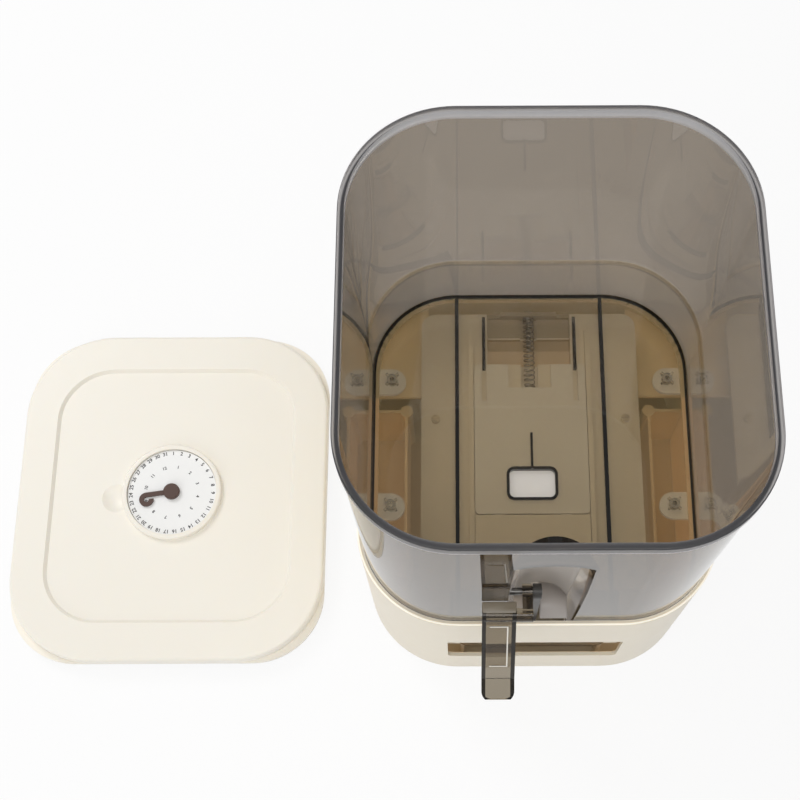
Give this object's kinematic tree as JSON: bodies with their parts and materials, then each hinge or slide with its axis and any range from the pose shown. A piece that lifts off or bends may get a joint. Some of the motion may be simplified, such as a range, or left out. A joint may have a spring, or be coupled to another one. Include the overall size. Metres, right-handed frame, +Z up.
{
  "type": "grain dispenser",
  "caption": "Rounded rice dispenser: smoky clear hopper in a cream base, press lever that slides a sprung gate, pull-out tray, and a lift-off lid with a date dial lying beside it.",
  "frame": {"origin": "under the middle of the base, on the surface that it stands on", "axes": "+Z up, +X to the right seen from the front, +Y to the back; the lever and tray face -Y"},
  "size_m": [0.4937, 0.3017, 0.325],
  "materials": {
    "smoky_clear": "clear smoky grey-brown, polished",
    "cream_base": "satin moulded",
    "cream_inner": "moulded, unpolished",
    "cream_lid": "fine satin moulded",
    "steel": "zinc bright",
    "spring_steel": "drawn wire",
    "seal_soft": "matt silicone",
    "disc_white": "satin white with printed numbers",
    "pointer_brown": "matt dark brown",
    "arm_dark": "matt dark grey"
  },
  "bodies": {
    "bin": {"hopper": "smoky_clear", "base_shell": "cream_base", "bottom_cover": "cream_base", "tray_housing": "cream_inner", "mechanism_deck": "cream_inner", "gate_spring": "spring_steel", "spring_guide_pin": "steel", "hopper_screws": "steel", "cover_screws": "steel", "deck_screws": "steel"},
    "lever": {"lever_handle": "smoky_clear", "lever_pin": "steel", "rocker_arm": "arm_dark"},
    "gate": {"gate_slide": "cream_inner"},
    "tray": {"dispensing_tray": "smoky_clear"},
    "lid": {"lid_shell": "cream_lid", "lid_seal": "seal_soft", "dial_cup": "cream_lid"},
    "dial": {"date_disc": "disc_white"},
    "pointer": {"hook_pointer": "pointer_brown"}
  },
  "joints": [
    {"name": "lever_press", "type": "hinge", "parent": "bin", "child": "lever", "pos_m": [0, -0.117, 0.196], "axis": [1, 0, 0], "range_deg": [0, 12.06]},
    {"name": "gate_travel", "type": "slide", "parent": "bin", "child": "gate", "axis": [0, 1, 0], "range_m": [0, 0.022], "stiffness_N_per_m": 150, "springref_m": -0.02, "deforming": ["gate_spring"]},
    {"name": "tray_pull", "type": "slide", "parent": "bin", "child": "tray", "axis": [0, -1, 0], "range_m": [0, 0.12]},
    {"name": "lid_lift", "type": "slide", "parent": "bin", "child": "lid", "axis": [0, 0, 1], "range_m": [0, 0.12]},
    {"name": "date_disc_turn", "type": "hinge", "parent": "lid", "child": "dial", "pos_m": [-0.264, 0.002, 0.0165], "axis": [0, 0, 1], "continuous": true},
    {"name": "pointer_turn", "type": "hinge", "parent": "lid", "child": "pointer", "pos_m": [-0.264, 0.002, 0.019], "axis": [0, 0, 1], "continuous": true}
  ],
  "couplings": [
    {"joint": "gate_travel", "follows": "lever_press", "m_per_rad": 0.1045}
  ]
}
